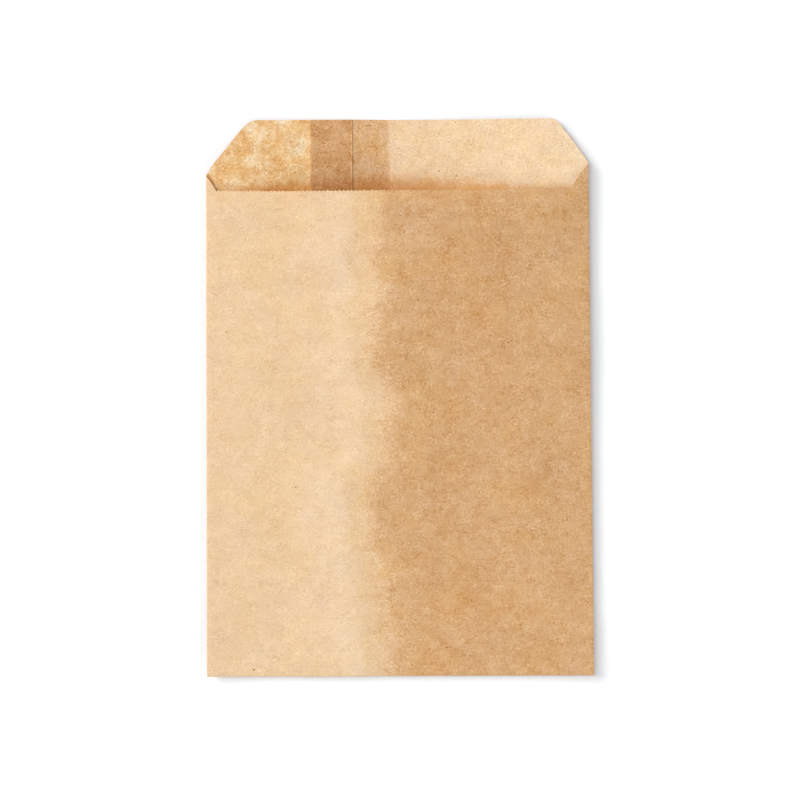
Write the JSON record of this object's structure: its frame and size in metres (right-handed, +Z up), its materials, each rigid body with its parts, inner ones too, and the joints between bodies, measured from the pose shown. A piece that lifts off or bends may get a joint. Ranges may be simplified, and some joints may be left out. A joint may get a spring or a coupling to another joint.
{
  "type": "paper bag",
  "caption": "Flat brown kraft paper bag lying a little open, with a longer back lip, slanted mouth corners, a glued back seam and a folded, glued bottom.",
  "frame": {"origin": "under the middle of the bag, on the surface that it lies on", "axes": "+X across the bag to the right as it lies, +Y from the bottom fold to the mouth, +Z up out of the front panel"},
  "size_m": [0.1602, 0.2312, 0.0098],
  "materials": {
    "kraft_paper": "uncoated brown kraft, slightly glazed"
  },
  "bodies": {
    "root": {"paper_bag": "kraft_paper"}
  },
  "joints": []
}
